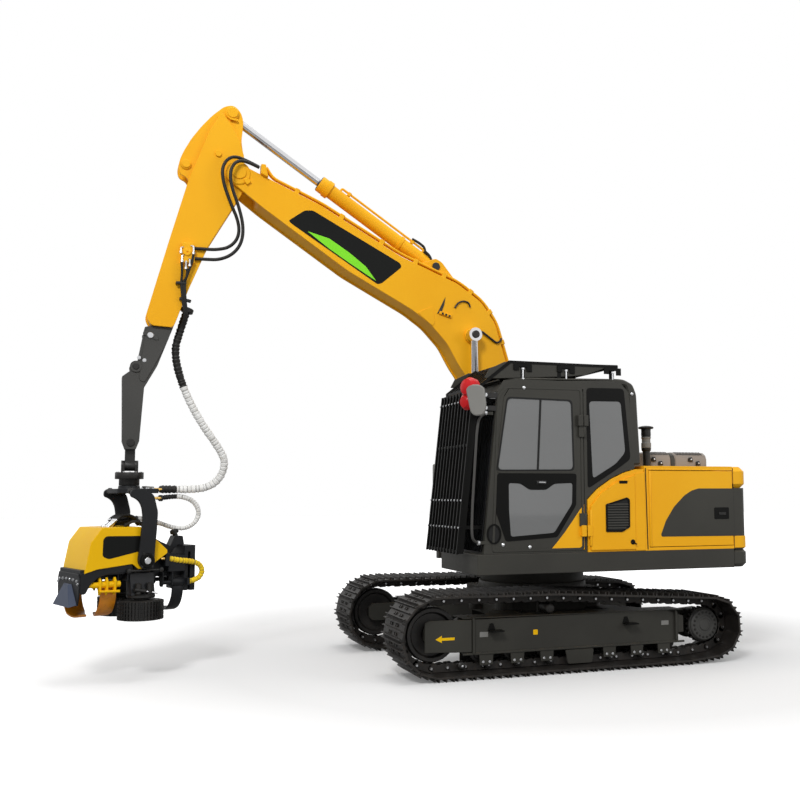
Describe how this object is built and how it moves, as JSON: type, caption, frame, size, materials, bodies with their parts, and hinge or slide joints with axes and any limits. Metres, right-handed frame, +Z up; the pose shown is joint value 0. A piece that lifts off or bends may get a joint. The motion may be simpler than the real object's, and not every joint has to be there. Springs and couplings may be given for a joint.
{
  "type": "forestry harvester on tracks",
  "caption": "Tracked forestry harvester: crawler carrier with guarded cab, bent boom, arm, rotator and a tilting harvester head with feed rollers, knives and saw.",
  "frame": {"origin": "on the ground, on the axis that the upper structure turns about", "axes": "+X forward, +Y to the driver's left, +Z up"},
  "size_m": [6.5195, 2.782, 5.47],
  "materials": {
    "frame_paint": "satin dark grey paint with dust",
    "track_steel": "dark worn steel",
    "cab_paint": "satin dark grey paint",
    "glass": "tinted grey glass",
    "seat_fabric": "woven dark fabric",
    "body_paint": "glossy yellow-orange paint",
    "taupe_paint": "satin taupe paint",
    "cast_iron": "painted casting",
    "dark_metal": "dark steel",
    "rod_chrome": "ground and chromed",
    "grey_paint": "satin dark grey paint",
    "head_paint": "glossy yellow paint",
    "black_rubber": "matt black hose",
    "white_sleeve": "white woven sleeve",
    "yellow_sleeve": "yellow woven sleeve",
    "knife_steel": "worn copper-brown paint"
  },
  "bodies": {
    "undercarriage": {"centre_frame": "frame_paint", "tow_lugs": "frame_paint", "slew_ring": "frame_paint", "track_frames": "frame_paint", "track_left": "track_steel", "track_right": "track_steel", "idlers": "track_steel", "sprockets": "track_steel", "track_rollers": "track_steel"},
    "upper": {"deck": "frame_paint", "cab_shell": "cab_paint", "cab_windows": "glass", "seat": "seat_fabric", "console": "cab_paint", "roof_guard": "cab_paint", "front_guard": "cab_paint", "house_shell": "body_paint", "counterweight": "body_paint", "engine_block": "cast_iron", "tanks": "body_paint", "tool_box": "body_paint", "pre_cleaner": "dark_metal", "exhaust": "dark_metal", "mirrors": "cab_paint", "handrails": "cab_paint"},
    "cab_door_body": {"cab_door": "cab_paint", "cab_door_glass": "glass"},
    "pump_door_body": {"pump_door": "body_paint"},
    "rear_door_left_body": {"rear_door_left": "body_paint"},
    "rear_door_right_body": {"rear_door_right": "body_paint"},
    "engine_hood_body": {"engine_hood": "taupe_paint"},
    "tool_box_lid_body": {"tool_box_lid": "body_paint"},
    "boom_body": {"boom": "body_paint", "boom_pipes": "body_paint", "tip_hose_upper": "black_rubber", "tip_hose_lower": "black_rubber"},
    "boom_barrels_body": {"boom_cylinder_barrels": "body_paint"},
    "boom_rods_body": {"boom_cylinder_rods": "rod_chrome"},
    "arm_body": {"arm": "body_paint", "arm_extension": "grey_paint", "head_hose_sleeve": "white_sleeve"},
    "arm_barrel_body": {"arm_cylinder_barrel": "body_paint"},
    "arm_rod_body": {"arm_cylinder_rod": "rod_chrome"},
    "link_body": {"swing_link": "dark_metal"},
    "rotator_body": {"rotator": "dark_metal"},
    "yoke_body": {"yoke": "grey_paint", "tilt_hose_loop": "white_sleeve"},
    "head_body": {"head_frame": "grey_paint", "head_hood": "head_paint", "fixed_knife": "knife_steel", "saw_hose": "yellow_sleeve"},
    "front_knife_left_body": {"front_knife_left": "knife_steel"},
    "front_knife_right_body": {"front_knife_right": "knife_steel"},
    "rear_knife_left_body": {"rear_knife_left": "knife_steel"},
    "rear_knife_right_body": {"rear_knife_right": "knife_steel"},
    "feed_arm_left_body": {"feed_arm_left": "grey_paint"},
    "feed_arm_right_body": {"feed_arm_right": "grey_paint"},
    "feed_roller_left_body": {"feed_roller_left": "dark_metal"},
    "feed_roller_right_body": {"feed_roller_right": "dark_metal"},
    "saw_body": {"saw_bar": "knife_steel"}
  },
  "joints": [
    {"name": "slew", "type": "hinge", "parent": "undercarriage", "child": "upper", "pos_m": [0, 0, 0.92], "axis": [0, 0, 1], "continuous": true},
    {"name": "cab_door_hinge", "type": "hinge", "parent": "upper", "child": "cab_door_body", "pos_m": [0, 1.245, 1.8], "axis": [0, 0, 1], "range_deg": [0, 110]},
    {"name": "pump_door_hinge", "type": "hinge", "parent": "upper", "child": "pump_door_body", "pos_m": [-0.05, 1.256, 1.4], "axis": [0, 0, 1], "range_deg": [-105, 0]},
    {"name": "rear_door_left_hinge", "type": "hinge", "parent": "upper", "child": "rear_door_left_body", "pos_m": [-0.703, 1.242, 1.5], "axis": [0, 0, 1], "range_deg": [-105, 0]},
    {"name": "rear_door_right_hinge", "type": "hinge", "parent": "upper", "child": "rear_door_right_body", "pos_m": [-0.703, -1.242, 1.5], "axis": [0, 0, -1], "range_deg": [-105, 0]},
    {"name": "engine_hood_hinge", "type": "hinge", "parent": "upper", "child": "engine_hood_body", "pos_m": [-1, 0, 1.934], "axis": [0, 1, 0], "range_deg": [0, 65]},
    {"name": "tool_box_lid_hinge", "type": "hinge", "parent": "upper", "child": "tool_box_lid_body", "pos_m": [0.38, -0.49, 1.494], "axis": [-1, 0, 0], "range_deg": [0, 85]},
    {"name": "boom_lift", "type": "hinge", "parent": "upper", "child": "boom_body", "pos_m": [0.05, -0.1, 1.55], "axis": [0, -1, 0], "range_deg": [-50, 20]},
    {"name": "boom_barrels_turn", "type": "hinge", "parent": "upper", "child": "boom_barrels_body", "pos_m": [0.662, -0.1, 1.29], "axis": [0, -1, 0], "range_deg": [-49, 20]},
    {"name": "boom_rods_slide", "type": "slide", "parent": "boom_barrels_body", "child": "boom_rods_body", "axis": [0.0199, 0, 0.9998], "range_m": [-0.53, 0.22]},
    {"name": "arm_swing", "type": "hinge", "parent": "boom_body", "child": "arm_body", "pos_m": [3.127, -0.1, 4.778], "axis": [0, 1, 0], "range_deg": [-60, 30], "deforming": ["tip_hose_upper", "tip_hose_lower"]},
    {"name": "arm_barrel_turn", "type": "hinge", "parent": "boom_body", "child": "arm_barrel_body", "pos_m": [1.066, -0.1, 4.025], "axis": [0, 1, 0], "range_deg": [-8, 4]},
    {"name": "arm_rod_slide", "type": "slide", "parent": "arm_barrel_body", "child": "arm_rod_body", "axis": [0.8396, 0, 0.5432], "range_m": [-0.56, 0.3]},
    {"name": "link_swing", "type": "hinge", "parent": "arm_body", "child": "link_body", "pos_m": [4.052, -0.1, 2.135], "axis": [0, -1, 0], "range_deg": [-50, 50], "deforming": ["head_hose_sleeve"]},
    {"name": "cross_swing", "type": "hinge", "parent": "link_body", "child": "rotator_body", "pos_m": [4.052, -0.1, 1.923], "axis": [1, 0, 0], "range_deg": [-25, 25]},
    {"name": "rotator_turn", "type": "hinge", "parent": "rotator_body", "child": "yoke_body", "pos_m": [4.052, -0.1, 1.74], "axis": [0, 0, 1], "continuous": true},
    {"name": "head_tilt", "type": "hinge", "parent": "yoke_body", "child": "head_body", "pos_m": [4.00126, -0.11847, 1.06], "axis": [0.342, -0.9397, 0], "range_deg": [0, 90], "deforming": ["tilt_hose_loop"]},
    {"name": "front_knife_left_open", "type": "hinge", "parent": "head_body", "child": "front_knife_left_body", "pos_m": [4.21741, 0.16772, 0.855], "axis": [0.9397, 0.342, 0], "range_deg": [-8, 50]},
    {"name": "front_knife_right_open", "type": "hinge", "parent": "head_body", "child": "front_knife_right_body", "pos_m": [4.51055, -0.14062, 0.855], "axis": [0.9397, 0.342, 0], "range_deg": [-50, 8]},
    {"name": "rear_knife_left_open", "type": "hinge", "parent": "head_body", "child": "rear_knife_left_body", "pos_m": [3.60379, -0.05562, 0.845], "axis": [0.9397, 0.342, 0], "range_deg": [-8, 50]},
    {"name": "rear_knife_right_open", "type": "hinge", "parent": "head_body", "child": "rear_knife_right_body", "pos_m": [3.83773, -0.3855, 0.845], "axis": [0.9397, 0.342, 0], "range_deg": [-50, 8]},
    {"name": "feed_arm_left_open", "type": "hinge", "parent": "head_body", "child": "feed_arm_left_body", "pos_m": [3.94943, 0.06486, 0.93], "axis": [0.9397, 0.342, 0], "range_deg": [0, 35]},
    {"name": "feed_arm_right_open", "type": "hinge", "parent": "head_body", "child": "feed_arm_right_body", "pos_m": [4.0794, -0.29222, 0.93], "axis": [0.9397, 0.342, 0], "range_deg": [-35, 0]},
    {"name": "feed_roller_left_spin", "type": "hinge", "parent": "feed_arm_left_body", "child": "feed_roller_left_body", "pos_m": [3.93062, 0.11654, 0.62], "axis": [0, 0, 1], "continuous": true},
    {"name": "feed_roller_right_spin", "type": "hinge", "parent": "feed_arm_right_body", "child": "feed_roller_right_body", "pos_m": [4.09821, -0.34391, 0.62], "axis": [0, 0, 1], "continuous": true},
    {"name": "saw_swing", "type": "hinge", "parent": "head_body", "child": "saw_body", "pos_m": [3.60098, -0.38122, 1], "axis": [0.9397, 0.342, 0], "range_deg": [0, 90]}
  ],
  "couplings": [
    {"joint": "boom_barrels_turn", "follows": "boom_lift", "ratio": 0.96},
    {"joint": "boom_rods_slide", "follows": "boom_lift", "m_per_rad": 0.6},
    {"joint": "arm_barrel_turn", "follows": "arm_swing", "ratio": 0.1},
    {"joint": "arm_rod_slide", "follows": "arm_swing", "m_per_rad": 0.51},
    {"joint": "front_knife_right_open", "follows": "front_knife_left_open", "ratio": -1},
    {"joint": "rear_knife_right_open", "follows": "rear_knife_left_open", "ratio": -1},
    {"joint": "feed_arm_right_open", "follows": "feed_arm_left_open", "ratio": -1}
  ]
}
